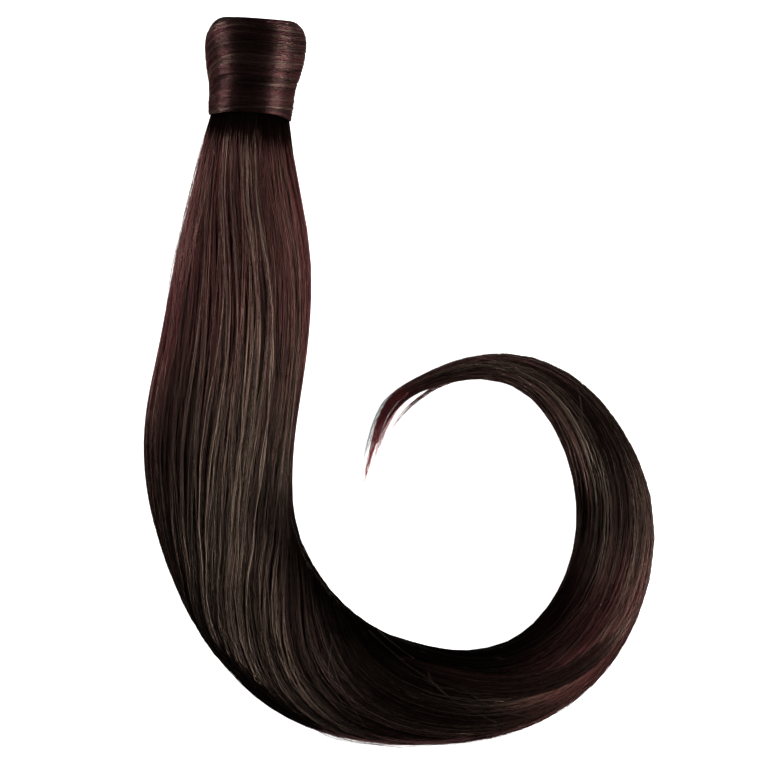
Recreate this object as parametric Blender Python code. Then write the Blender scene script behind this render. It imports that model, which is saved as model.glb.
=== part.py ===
"""A wrap-around ponytail hairpiece, lying on its side on a table with its end swept round in a curl.

Metres in the scene, millimetres in the tables below. The table top is z = 0, +Z points up from it,
and +Y points towards the head end, where the wearer's own tied hair goes into the wrap.
The origin is on the table, under the middle of the whole piece.

Pieces: hair_wrap (a lock wound into a collar, open at the mouth), tie_band (the elastic under it),
comb (sewn inside the mouth, hidden) and tail (the loose hair, in locks fused to a bound root).
"""

import math
from collections import namedtuple

import bmesh
import bpy
import numpy as np
from mathutils import Matrix, Vector

MM = 0.001
CLEARANCE = 0.3

# The collar stands on its own line: its lower edge is centred here on the table, and it leans this way.
COLLAR_FOOT_X = -60.0
COLLAR_FOOT_Y = 104.4
COLLAR_LEAN_DEG = 4.7
COLLAR_LENGTH = 40.2
COLLAR_SIDES = 40
DEPTH_TO_WIDTH = 0.84

# Outer half width of the collar, from its lower edge up to where the mouth's shoulder begins.
CollarRow = namedtuple("CollarRow", "along half_width")
COLLAR_ROWS = (
    CollarRow(along=0.0, half_width=15.9),
    CollarRow(along=4.6, half_width=16.85),
    CollarRow(along=11.9, half_width=17.3),
    CollarRow(along=16.5, half_width=18.25),
    CollarRow(along=21.5, half_width=19.4),
    CollarRow(along=27.0, half_width=20.2),
    CollarRow(along=30.6, half_width=20.3),
)
SHOULDER_START = 30.6
MOUTH_LAND_HALF_WIDTH = 13.2
MOUTH_SLOPE = 0.01
WINDING_PITCH = 9.4
WINDING_GROOVE = 0.55
COLLAR_FLATTENED = 0.4

# The wrap's lower edge: this far up the collar's line, hanging lower at its right and left.
LOWER_EDGE = 2.7
RIGHT_DROOP = 2.1
LEFT_DROOP = 2.0

# The hollow of the collar: an oval throat for the wearer's own hair, with a flat strip for the comb.
THROAT_HALF_WIDTH = 11.8
THROAT_HALF_DEPTH = 9.4
THROAT_CENTRE_HEIGHT = 16.7
THROAT_FLAT_HEIGHT = 9.7
THROAT_FLOOR = 13.2
MOUTH_FLARE = 0.6

# The elastic that binds the tail's root, just under the wrap's lower edge.
BAND_CENTRE_X = -59.95
BAND_CENTRE_Y = 105.2
BAND_HEIGHT = 2.9
BAND_HALF_WIDTH = 14.8
BAND_HALF_DEPTH = 11.6
BAND_THICKNESS = 1.2

COMB_WIDTH = 14.4
COMB_THICKNESS = 1.4
COMB_SPINE = 4.0
COMB_TOOTH_LENGTH = 11.0
COMB_TEETH = 6
COMB_TOOTH_WIDTH = 1.3
COMB_FROM_MOUTH = 2.0

# The bound root of the tail, inside the collar: how far up the collar's line, and the size of its oval.
RootRow = namedtuple("RootRow", "along width top base")
ROOT_ROWS = (
    RootRow(along=12.6, width=24.4, top=22.6, base=4.2),
    RootRow(along=4.6, width=26.1, top=23.05, base=2.95),
    RootRow(along=-0.9, width=26.1, top=23.05, base=2.95),
)

# The loose tail's sections, from under the band to its tip. x and y are the middle of the bundle on the
# table, top is its height there, base is where its round underside would reach if the table didn't
# press it flat, and twist is how far the hair has turned round the bundle, in degrees.
TailRow = namedtuple("TailRow", "x y width top base twist")
TAIL_ROWS = (
    TailRow(x=-60.9, y=102.7, width=32.0, top=25.2, base=0.9, twist=0),
    TailRow(x=-61.4, y=76.4, width=43.2, top=24.2, base=-1.6, twist=4),
    TailRow(x=-62.4, y=50.4, width=53.0, top=22.4, base=-2.4, twist=12),
    TailRow(x=-64.8, y=26.0, width=57.4, top=21.2, base=-2.4, twist=18),
    TailRow(x=-68.6, y=2.0, width=59.2, top=20.4, base=-2.4, twist=22),
    TailRow(x=-72.2, y=-21.0, width=60.0, top=20.0, base=-2.4, twist=24),
    TailRow(x=-71.8, y=-44.0, width=57.4, top=20.0, base=-2.4, twist=20),
    TailRow(x=-66.2, y=-68.6, width=53.8, top=20.0, base=-2.4, twist=6),
    TailRow(x=-53.5, y=-92.9, width=52.6, top=19.6, base=-2.4, twist=-30),
    TailRow(x=-36.0, y=-110.3, width=50.0, top=19.0, base=-2.4, twist=-70),
    TailRow(x=-15.6, y=-120.8, width=45.4, top=18.4, base=-2.3, twist=-102),
    TailRow(x=6.4, y=-125.5, width=40.2, top=17.8, base=-2.2, twist=-124),
    TailRow(x=29.6, y=-125.7, width=36.4, top=17.2, base=-2.1, twist=-140),
    TailRow(x=51.0, y=-119.6, width=34.6, top=16.8, base=-2.0, twist=-152),
    TailRow(x=68.2, y=-106.4, width=34.2, top=16.4, base=-1.9, twist=-160),
    TailRow(x=80.2, y=-87.2, width=33.2, top=15.8, base=-1.8, twist=-166),
    TailRow(x=86.0, y=-64.0, width=31.6, top=14.8, base=-1.7, twist=-170),
    TailRow(x=84.8, y=-44.0, width=29.2, top=13.4, base=-1.6, twist=-174),
    TailRow(x=77.4, y=-23.8, width=24.6, top=11.8, base=-1.4, twist=-180),
    TailRow(x=64.4, y=-5.9, width=19.0, top=9.8, base=-1.2, twist=-188),
    TailRow(x=46.6, y=4.5, width=12.5, top=8.0, base=-1.0, twist=-196),
    TailRow(x=24.4, y=4.6, width=8.2, top=6.4, base=-0.8, twist=-204),
    TailRow(x=4.6, y=-4.6, width=6.9, top=5.2, base=-0.6, twist=-212),
    TailRow(x=-8.3, y=-19.6, width=4.8, top=3.6, base=-0.5, twist=-218),
    TailRow(x=-13.4, y=-36.0, width=1.4, top=1.5, base=-0.2, twist=-222),
)
TAIL_SECTIONS = 64
LOCK_RIDGES = 8
POINTS_PER_RIDGE = 4
RIDGE_GROOVE = 1.1
FULL_GROOVE_HEIGHT = 18.0
RIDGES_START_Y = 102.0
RIDGES_FULL_Y = 84.0

# Separate locks fused to the tail. along is a share of the tail's length, across runs from -1 at the
# inside of the curl to 1 at its outside, height is the middle of the lock as a share of the tail's top.
LockRow = namedtuple("LockRow", "along across height width thickness")
OUTER_LOCK = (
    LockRow(along=0.30, across=0.64, height=0.50, width=6.0, thickness=5.0),
    LockRow(along=0.35, across=0.73, height=0.50, width=12.0, thickness=10.0),
    LockRow(along=0.40, across=0.80, height=0.48, width=12.0, thickness=11.0),
    LockRow(along=0.435, across=0.88, height=0.42, width=7.0, thickness=7.0),
    LockRow(along=0.463, across=0.97, height=0.34, width=1.6, thickness=1.6),
)
CROSSING_LOCK = (
    LockRow(along=0.47, across=-0.62, height=0.72, width=5.0, thickness=4.0),
    LockRow(along=0.52, across=-0.34, height=0.88, width=10.0, thickness=5.0),
    LockRow(along=0.57, across=0.10, height=0.92, width=11.0, thickness=5.0),
    LockRow(along=0.62, across=0.54, height=0.80, width=9.0, thickness=5.0),
    LockRow(along=0.67, across=0.84, height=0.50, width=4.0, thickness=4.0),
)
INNER_TIP_LOCK = (
    LockRow(along=0.86, across=-0.30, height=0.50, width=3.2, thickness=3.2),
    LockRow(along=0.91, across=-0.50, height=0.50, width=3.0, thickness=3.0),
    LockRow(along=0.94, across=-0.86, height=0.45, width=2.2, thickness=2.2),
    LockRow(along=0.962, across=-1.36, height=0.40, width=1.4, thickness=1.4),
    LockRow(along=0.978, across=-2.20, height=0.50, width=0.8, thickness=0.8),
)
OUTER_TIP_LOCK = (
    LockRow(along=0.88, across=0.20, height=0.50, width=3.0, thickness=3.0),
    LockRow(along=0.92, across=0.62, height=0.50, width=2.8, thickness=2.6),
    LockRow(along=0.95, across=1.05, height=0.45, width=2.2, thickness=2.0),
    LockRow(along=0.98, across=1.35, height=0.45, width=1.4, thickness=1.2),
)
LOCK_SIDES = 8
LOCK_SECTIONS = 14

HAIR_COLOUR = (0.030, 0.016, 0.013, 1.0)
WRAP_COLOUR = (0.038, 0.018, 0.016, 1.0)
ELASTIC_COLOUR = (0.008, 0.006, 0.006, 1.0)
COMB_COLOUR = (0.010, 0.009, 0.009, 1.0)


def clear_scene():
    for old in list(bpy.data.objects):
        bpy.data.objects.remove(old)


def new_collection(name):
    collection = bpy.data.collections.new(name)
    bpy.context.scene.collection.children.link(collection)
    return collection


def principled(name, colour, roughness):
    material = bpy.data.materials.new(name)
    material.use_nodes = True
    shader = material.node_tree.nodes["Principled BSDF"]
    shader.inputs["Base Color"].default_value = colour
    shader.inputs["Roughness"].default_value = roughness
    shader.inputs["Metallic"].default_value = 0.0
    return material


def column(rows, name):
    return np.array([getattr(row, name) for row in rows], float)


def spline(knots, values, places):
    """A natural cubic spline through (knots, values), read at places."""
    count = len(knots)
    gaps = np.diff(knots)
    system = np.eye(count)
    slopes = np.zeros(count)
    for i in range(1, count - 1):
        system[i, i - 1 : i + 2] = gaps[i - 1], 2 * (gaps[i - 1] + gaps[i]), gaps[i]
        slopes[i] = 6 * ((values[i + 1] - values[i]) / gaps[i] - (values[i] - values[i - 1]) / gaps[i - 1])
    bends = np.linalg.solve(system, slopes)
    left = np.clip(np.searchsorted(knots, places) - 1, 0, count - 2)
    gap = gaps[left]
    after = places - knots[left]
    before = gap - after
    curved = (bends[left] * before**3 + bends[left + 1] * after**3) / (6 * gap)
    straight_left = (values[left] / gap - bends[left] * gap / 6) * before
    straight_right = (values[left + 1] / gap - bends[left + 1] * gap / 6) * after
    return curved + straight_left + straight_right


def mesh_object(name, points_mm, faces, material, collection):
    """A smooth-shaded object whose mesh holds these points, in millimetres, and faces."""
    mesh = bpy.data.meshes.new(name)
    mesh.from_pydata((np.asarray(points_mm).reshape(-1, 3) * MM).tolist(), [], faces)
    mesh.shade_smooth()
    mesh.materials.append(material)
    obj = bpy.data.objects.new(name, mesh)
    collection.objects.link(obj)
    return obj


def loft_faces(ring_count, side_count, ring_closed=False):
    """Quads between neighbouring rings, with the last ring joined to the first where ring_closed."""
    faces = []
    for ring in range(ring_count if ring_closed else ring_count - 1):
        following = (ring + 1) % ring_count
        for side in range(side_count):
            beside = (side + 1) % side_count
            faces.append(
                (
                    ring * side_count + side,
                    ring * side_count + beside,
                    following * side_count + beside,
                    following * side_count + side,
                )
            )
    return faces


def face_outwards(obj):
    """Closed meshes only: turns every face so that it points out of the body."""
    work = bmesh.new()
    work.from_mesh(obj.data)
    bmesh.ops.recalc_face_normals(work, faces=work.faces)
    work.to_mesh(obj.data)
    work.free()


def lofted_body(name, rings, material, collection):
    """A closed body through the rings, an array of rings x sides x 3, with a flat cap at each end."""
    ring_count, side_count = rings.shape[:2]
    faces = loft_faces(ring_count, side_count)
    faces.append(tuple(range(side_count)))
    last = (ring_count - 1) * side_count
    faces.append(tuple(range(last, last + side_count)))
    obj = mesh_object(name, rings, faces, material, collection)
    face_outwards(obj)
    return obj


def sharpen(obj, degrees):
    obj.data.set_sharp_from_angle(angle=math.radians(degrees))


# Hair wrap


def collar_half_width(along):
    """The photographed outline, then a quarter ellipse round the shoulder to the flat of the mouth."""
    on_body = spline(column(COLLAR_ROWS, "along"), column(COLLAR_ROWS, "half_width"), along)
    rise = np.clip((along - SHOULDER_START) / (COLLAR_LENGTH - SHOULDER_START), 0, 1)
    widest = COLLAR_ROWS[-1].half_width
    round_shoulder = MOUTH_LAND_HALF_WIDTH + (widest - MOUTH_LAND_HALF_WIDTH) * np.sqrt(1 - rise**2)
    return np.where(along < SHOULDER_START, on_body, round_shoulder)


def winding_groove(along, angle):
    """How deep the seam between two turns of the wound lock lies at this height and angle."""
    turn = along / WINDING_PITCH - angle / (2 * math.pi)
    seam = 1 - np.abs(np.sin(math.pi * turn)) ** 0.6
    fade = np.clip((COLLAR_LENGTH - 2.5 - along) / 4, 0, 1) * np.clip(along / 3, 0, 1)
    return WINDING_GROOVE * seam * fade


def build_hair_wrap(material, collection):
    """A hollow sleeve: rings up the outside, over the shoulder, and down the throat to the lower edge."""
    angle = np.linspace(0, 2 * math.pi, COLLAR_SIDES, endpoint=False)
    body = np.array([2.7, 3.6, 5, 7.2, 9.4, 11.6, 13.8, 16, 18.4, 20.8, 23.2, 25.6, 28, 30, SHOULDER_START])
    shoulder_turn = np.radians([14, 30, 46, 62, 76, 90])
    shoulder = SHOULDER_START + (COLLAR_LENGTH - SHOULDER_START) * np.sin(shoulder_turn)
    rings = []
    for along in np.concatenate([body, shoulder]):
        half_width = collar_half_width(along) - winding_groove(along, angle)
        half_depth = half_width * DEPTH_TO_WIDTH
        centre = min(along, SHOULDER_START)
        centre_height = collar_half_width(centre) * DEPTH_TO_WIDTH - COLLAR_FLATTENED
        lift = (lower_edge(angle) - LOWER_EDGE) * np.clip((9 - along) / (9 - LOWER_EDGE), 0, 1)
        rings.append(
            np.stack(
                [
                    half_width * np.cos(angle),
                    along + lift + mouth_tilt(along) * half_width * np.cos(angle),
                    np.maximum(centre_height + half_depth * np.sin(angle), 0),
                ],
                axis=1,
            )
        )
    throat_rows = (
        (COLLAR_LENGTH, MOUTH_FLARE),
        (COLLAR_LENGTH - 1.4, 0.2),
        (COLLAR_LENGTH - 4, 0.0),
        (COLLAR_LENGTH - 14, 0.0),
        (THROAT_FLOOR + 0.6, 0.0),
    )
    for along, flare in throat_rows:
        rings.append(throat_ring(along, flare, angle))
    rings.extend(socket_rings(angle))
    rings = np.array(rings)
    ring_count = len(rings)
    wrap = mesh_object(
        "hair_wrap", rings, loft_faces(ring_count, COLLAR_SIDES, ring_closed=True), material, collection
    )
    face_outwards(wrap)
    sharpen(wrap, 50)
    wrap.matrix_world = collar_placement()
    return wrap


def mouth_tilt(along):
    """The mouth lies more level than the collar leans: this slope grows from nothing at the shoulder."""
    return MOUTH_SLOPE * max(0, (along - SHOULDER_START) / (COLLAR_LENGTH - SHOULDER_START))


def throat_ring(along, flare, angle):
    """The oval of the throat at one height, cut off flat where the comb's seat is."""
    height = THROAT_CENTRE_HEIGHT + (THROAT_HALF_DEPTH + flare) * np.sin(angle)
    across = (THROAT_HALF_WIDTH + flare) * np.cos(angle)
    return np.stack(
        [
            across,
            along + mouth_tilt(along) * across,
            np.maximum(height, THROAT_FLAT_HEIGHT - flare),
        ],
        axis=1,
    )


def lower_edge(angle):
    """How far up the collar's line the wrap's lower edge is, all the way round it."""
    right = RIGHT_DROOP * np.clip(np.cos(angle), 0, 1) ** 4
    left = LEFT_DROOP * np.clip(-np.cos(angle), 0, 1) ** 2
    return LOWER_EDGE - right - left


def socket_rings(angle):
    """The lower end of the hollow, which fits round the tail's root and then clears the tie band."""
    rings = []
    for along in (ROOT_ROWS[0].along + 0.4, 5.2):
        width, top, base = (
            np.interp(-along, [-row.along for row in ROOT_ROWS], column(ROOT_ROWS, name))
            for name in ("width", "top", "base")
        )
        rings.append(
            np.stack(
                [
                    (width / 2 + CLEARANCE) * np.cos(angle),
                    np.full_like(angle, along),
                    (top + base) / 2 + ((top - base) / 2 + CLEARANCE) * np.sin(angle),
                ],
                axis=1,
            )
        )
    band = collar_placement().inverted() @ Vector((BAND_CENTRE_X * MM, BAND_CENTRE_Y * MM, 0))
    clear = CLEARANCE + 0.05
    for along in (np.full_like(angle, 4.1), lower_edge(angle)):
        rings.append(
            np.stack(
                [
                    band.x / MM + (BAND_HALF_WIDTH + clear) * np.cos(angle),
                    along,
                    band_height() + (BAND_HALF_DEPTH + clear) * np.sin(angle),
                ],
                axis=1,
            )
        )
    return rings


def collar_placement():
    turn = Matrix.Rotation(math.radians(-COLLAR_LEAN_DEG), 4, "Z")
    return Matrix.Translation((COLLAR_FOOT_X * MM, COLLAR_FOOT_Y * MM, 0)) @ turn


# Tail


def tail_length():
    return float(tail_run()[-1])


def tail_run():
    """How far along the loose tail each row lies."""
    steps = np.hypot(np.diff(column(TAIL_ROWS, "x")), np.diff(column(TAIL_ROWS, "y")))
    return np.concatenate([[0], np.cumsum(steps)])


def tail_at(places):
    """The tail's columns at distances along it, and the unit vector towards the outside of the curl."""
    run = tail_run()
    line = {name: spline(run, column(TAIL_ROWS, name), places) for name in ("x", "y", "width", "top", "base")}
    line["twist"] = np.interp(places, run, column(TAIL_ROWS, "twist"))
    ahead, behind = np.minimum(places + 0.5, run[-1]), np.maximum(places - 0.5, 0)
    along_x = spline(run, column(TAIL_ROWS, "x"), ahead) - spline(run, column(TAIL_ROWS, "x"), behind)
    along_y = spline(run, column(TAIL_ROWS, "y"), ahead) - spline(run, column(TAIL_ROWS, "y"), behind)
    length = np.hypot(along_x, along_y)
    line["out_x"], line["out_y"] = along_y / length, -along_x / length
    return line


def root_line():
    """The root's columns in the same form as the tail's: it lies on the collar's line, level at the band."""
    placement = collar_placement()
    feet = [placement @ Vector((0, row.along * MM, 0)) for row in ROOT_ROWS]
    lean = math.radians(COLLAR_LEAN_DEG) * np.clip(column(ROOT_ROWS, "along") / LOWER_EDGE, 0, 1)
    line = {name: column(ROOT_ROWS, name) for name in ("width", "top", "base")}
    line["x"] = np.array([foot.x / MM for foot in feet])
    line["y"] = np.array([foot.y / MM for foot in feet])
    line["twist"] = 0 * lean
    line["out_x"], line["out_y"] = -np.cos(lean), np.sin(lean)
    return line


def band_height():
    """The middle of the tail's neck, where the elastic sits."""
    neck = ROOT_ROWS[-1]
    return (neck.top + neck.base) / 2


def build_tail_core(material, collection):
    """The bundle: sections whose ridges, one for each lock, turn with the twist and flatten on the table."""
    loose = tail_at(np.linspace(0, tail_length(), TAIL_SECTIONS))
    root = root_line()
    line = {name: np.concatenate([root[name], loose[name]]) for name in root}
    point_count = LOCK_RIDGES * POINTS_PER_RIDGE
    hair = np.arange(point_count) * 2 * math.pi / point_count
    valley = (1 - np.abs(np.sin(LOCK_RIDGES * hair / 2)) ** 0.7)[None, :]
    angle = hair[None, :] + np.radians(line["twist"])[:, None]
    half_width = line["width"][:, None] / 2
    half_height = (line["top"] - line["base"])[:, None] / 2
    fade = np.clip((RIDGES_START_Y - line["y"]) / (RIDGES_START_Y - RIDGES_FULL_Y), 0, 1)
    groove = RIDGE_GROOVE * (fade * np.minimum(1, 2 * half_height[:, 0] / FULL_GROOVE_HEIGHT))[:, None] * valley
    across = (half_width - groove) * np.cos(angle)
    height = line["base"][:, None] + half_height + (half_height - groove) * np.sin(angle)
    rings = np.stack(
        [
            line["x"][:, None] + across * line["out_x"][:, None],
            line["y"][:, None] + across * line["out_y"][:, None],
            np.maximum(height, 0),
        ],
        axis=2,
    )
    tail = lofted_body("tail", rings, material, collection)
    sharpen(tail, 60)
    return tail


def build_lock(name, rows, material, collection):
    """One tapering lock, placed in the tail's own directions by its rows."""
    share = column(rows, "along")
    at = np.linspace(share[0], share[-1], LOCK_SECTIONS)
    shape = {field: spline(share, column(rows, field), at) for field in LockRow._fields}
    line = tail_at(at * tail_length())
    side = np.linspace(0, 2 * math.pi, LOCK_SIDES, endpoint=False)[None, :]
    half_width = np.maximum(shape["width"], 0.8)[:, None] / 2
    half_thickness = np.maximum(shape["thickness"], 0.8)[:, None] / 2
    middle = (shape["across"] * line["width"] / 2)[:, None]
    height = np.maximum((shape["height"] * line["top"])[:, None], half_thickness + 0.2)
    across = middle + half_width * np.cos(side)
    rings = np.stack(
        [
            line["x"][:, None] + across * line["out_x"][:, None],
            line["y"][:, None] + across * line["out_y"][:, None],
            height + half_thickness * np.sin(side),
        ],
        axis=2,
    )
    lock = lofted_body(name, rings, material, collection)
    lock.hide_render = True
    lock.display_type = "WIRE"
    return lock


def build_tail(material, collection, helpers):
    tail = build_tail_core(material, collection)
    locks = (
        ("outer_lock", OUTER_LOCK),
        ("crossing_lock", CROSSING_LOCK),
        ("inner_tip_lock", INNER_TIP_LOCK),
        ("outer_tip_lock", OUTER_TIP_LOCK),
    )
    for name, rows in locks:
        fuse = tail.modifiers.new("fuse_" + name, "BOOLEAN")
        fuse.operation = "UNION"
        fuse.object = build_lock(name, rows, material, helpers)
    return tail


# Tie band


def build_tie_band(material, collection):
    """A flat elastic ring: a torus whose round section is stretched tall, squeezed to the neck's oval."""
    bpy.ops.mesh.primitive_torus_add(
        major_segments=40,
        minor_segments=10,
        major_radius=(BAND_HALF_WIDTH - BAND_THICKNESS / 2) * MM,
        minor_radius=BAND_THICKNESS / 2 * MM,
    )
    band = bpy.context.active_object
    band.name = "tie_band"
    middle_depth = BAND_HALF_DEPTH - BAND_THICKNESS / 2
    middle_width = BAND_HALF_WIDTH - BAND_THICKNESS / 2
    squeeze = Matrix.Diagonal((1, middle_depth / middle_width, BAND_HEIGHT / BAND_THICKNESS, 1))
    stand_up = Matrix.Rotation(math.radians(90), 4, "X")
    band.data.transform(stand_up @ squeeze)
    band.location = (BAND_CENTRE_X * MM, BAND_CENTRE_Y * MM, band_height() * MM)
    band.data.materials.append(material)
    band.data.shade_smooth()
    face_outwards(band)
    for holder in list(band.users_collection):
        holder.objects.unlink(band)
    collection.objects.link(band)
    return band


# Comb


def comb_outline():
    """The comb's flat outline in its own plane: a straight spine, and teeth that narrow to blunt ends."""
    half = COMB_WIDTH / 2
    pitch = (COMB_WIDTH - COMB_TOOTH_WIDTH) / (COMB_TEETH - 1)
    tooth_end = 0.45 * COMB_TOOTH_WIDTH
    points = [(-half, 0), (-half, -COMB_SPINE)]
    for tooth in range(COMB_TEETH):
        middle = -half + COMB_TOOTH_WIDTH / 2 + tooth * pitch
        root, end = COMB_TOOTH_WIDTH / 2, tooth_end / 2
        tip = -COMB_SPINE - COMB_TOOTH_LENGTH
        if tooth > 0:
            points.append((middle - root, -COMB_SPINE))
        points.extend([(middle - end, tip), (middle + end, tip)])
        if tooth < COMB_TEETH - 1:
            points.append((middle + root, -COMB_SPINE))
    points.extend([(half, -COMB_SPINE), (half, 0)])
    return points


def build_comb(material, collection):
    curve = bpy.data.curves.new("comb", "CURVE")
    curve.dimensions = "2D"
    curve.fill_mode = "BOTH"
    curve.extrude = COMB_THICKNESS / 2 * MM
    outline = curve.splines.new("POLY")
    points = comb_outline()
    outline.points.add(len(points) - 1)
    for point, (x, y) in zip(outline.points, points):
        point.co = (x * MM, y * MM, 0, 1)
    outline.use_cyclic_u = True
    curve.materials.append(material)
    comb = bpy.data.objects.new("comb", curve)
    collection.objects.link(comb)
    seat_height = THROAT_FLAT_HEIGHT + CLEARANCE + COMB_THICKNESS / 2
    seat = Matrix.Translation((0, (COLLAR_LENGTH - COMB_FROM_MOUTH) * MM, seat_height * MM))
    comb.matrix_world = collar_placement() @ seat
    return comb


clear_scene()
hairpiece = new_collection("ponytail_hairpiece")
lock_helpers = new_collection("lock_helpers")
hair = principled("tail_hair", HAIR_COLOUR, 0.38)
wound_hair = principled("wrap_hair", WRAP_COLOUR, 0.35)
elastic = principled("elastic", ELASTIC_COLOUR, 0.8)
plastic = principled("comb_plastic", COMB_COLOUR, 0.4)
build_hair_wrap(wound_hair, hairpiece)
build_tie_band(elastic, hairpiece)
build_comb(plastic, hairpiece)
build_tail(hair, hairpiece, lock_helpers)
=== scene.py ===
import bpy
import numpy as np
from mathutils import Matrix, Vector


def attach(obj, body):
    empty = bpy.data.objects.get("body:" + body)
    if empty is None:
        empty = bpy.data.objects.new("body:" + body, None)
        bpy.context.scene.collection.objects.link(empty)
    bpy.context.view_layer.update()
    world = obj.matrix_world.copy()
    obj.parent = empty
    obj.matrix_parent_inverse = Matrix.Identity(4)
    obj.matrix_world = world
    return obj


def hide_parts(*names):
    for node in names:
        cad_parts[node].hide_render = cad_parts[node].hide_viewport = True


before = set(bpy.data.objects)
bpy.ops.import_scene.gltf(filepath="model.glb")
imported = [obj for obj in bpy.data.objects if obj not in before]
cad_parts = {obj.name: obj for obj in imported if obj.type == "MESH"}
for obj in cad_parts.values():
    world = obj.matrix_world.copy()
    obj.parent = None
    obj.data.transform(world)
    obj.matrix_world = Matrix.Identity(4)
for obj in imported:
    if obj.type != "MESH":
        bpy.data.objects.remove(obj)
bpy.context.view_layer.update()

MM = 0.001


# The white table and the studio round it
# The hairpiece lies on a plain white table, lit by a long soft lamp low on each side and a weak one
# overhead, and is photographed from straight above through a long lens.

TABLE_SIDE = 4.0
TABLE_GAP = 0.0002
TABLE_COLOUR = (0.4, 0.4, 0.4, 1.0)
TABLE_WHITE = 1.0
VIEW_WIDTH = 0.304
VIEW_LENS = 500.0
VIEW_SENSOR = 36.0
VIEW_CENTRE = (-0.008, 0.0004, 0.008)
AIR_GREY = 0.03
# Each lamp's name, place, the point that it faces, its width and height, its watts and its colour.
LAMPS = (
    ("right_lamp", (0.75, 0.0, 0.45), (0.0, 0.0, 0.0), 0.5, 0.5, 36, (1.0, 0.97, 0.94)),
    ("left_lamp", (-0.8, 0.2, 0.24), (-0.05, 0.08, 0.0), 0.25, 0.36, 20, (1.0, 0.96, 0.95)),
    ("overhead_lamp", (0.0, 0.2, 1.8), (0.0, 0.0, 0.0), 0.6, 0.6, 0.3, (1.0, 1.0, 1.0)),
)


def table_top():
    """A square sheet with its middle under the object, just below the surface that the hair lies on. It
    is photographed as clean white, and bounces little light up into the hair."""
    half = TABLE_SIDE / 2
    signs = ((-1, -1), (1, -1), (1, 1), (-1, 1))
    corners = [(half * x, half * y, -TABLE_GAP) for x, y in signs]
    mesh = bpy.data.meshes.new("table_top")
    mesh.from_pydata(corners, [], [(0, 1, 2, 3)])
    table = bpy.data.objects.new("table_top", mesh)
    bpy.context.scene.collection.objects.link(table)
    paint = bpy.data.materials.new("white_table")
    paint.use_nodes = True
    nodes, links = paint.node_tree.nodes, paint.node_tree.links
    shader = nodes["Principled BSDF"]
    shader.inputs["Base Color"].default_value = TABLE_COLOUR
    shader.inputs["Roughness"].default_value = 0.9
    shader.inputs["Specular IOR Level"].default_value = 0.0
    shader.inputs["Emission Strength"].default_value = TABLE_WHITE
    seen = nodes.new("ShaderNodeLightPath")
    links.new(seen.outputs["Is Camera Ray"], shader.inputs["Emission Color"])
    mesh.materials.append(paint)


def soft_lamp(name, place, aim, width, height, watts, colour):
    """A rectangular lamp at place, turned to face aim."""
    light = bpy.data.lights.new(name, "AREA")
    light.shape = "RECTANGLE"
    light.size = width
    light.size_y = height
    light.energy = watts
    light.color = colour
    lamp = bpy.data.objects.new(name, light)
    lamp.location = place
    lamp.rotation_euler = (Vector(aim) - Vector(place)).to_track_quat("-Z", "Y").to_euler()
    bpy.context.scene.collection.objects.link(lamp)


def studio_air(grey):
    """An even pale surround, brighter to the eye than to the hair."""
    world = bpy.data.worlds.new("studio_air")
    bpy.context.scene.world = world
    world.use_nodes = True
    nodes, links = world.node_tree.nodes, world.node_tree.links
    for node in list(nodes):
        nodes.remove(node)
    seen = nodes.new("ShaderNodeLightPath")
    shade = nodes.new("ShaderNodeMix")
    shade.data_type = "RGBA"
    shade.inputs["A"].default_value = (grey, grey, grey, 1)
    shade.inputs["B"].default_value = (1, 1, 1, 1)
    air = nodes.new("ShaderNodeBackground")
    out = nodes.new("ShaderNodeOutputWorld")
    links.new(seen.outputs["Is Camera Ray"], shade.inputs["Factor"])
    links.new(shade.outputs["Result"], air.inputs["Color"])
    links.new(air.outputs["Background"], out.inputs["Surface"])


table_top()
studio_air(AIR_GREY)
for lamp in LAMPS:
    soft_lamp(*lamp)

camera_data = bpy.data.cameras.new("camera")
camera_data.lens = VIEW_LENS
camera_data.sensor_width = VIEW_SENSOR
camera_data.clip_start = 0.05
camera = bpy.data.objects.new("camera", camera_data)
camera.location = Vector(VIEW_CENTRE) + Vector((0, 0, VIEW_WIDTH * VIEW_LENS / VIEW_SENSOR))
bpy.context.scene.collection.objects.link(camera)
bpy.context.scene.camera = camera
bpy.context.scene.view_settings.view_transform = "Standard"


# The tail
# Loose fibre hair, dark brown with some burgundy in it, bound at the root and hanging in soft locks.
# Here it lies in a curl: the whole bundle rolls over as it bends, so hairs cross from its inside to its
# outside. It is a dark filled bundle under a shell of separate hairs.

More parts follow.
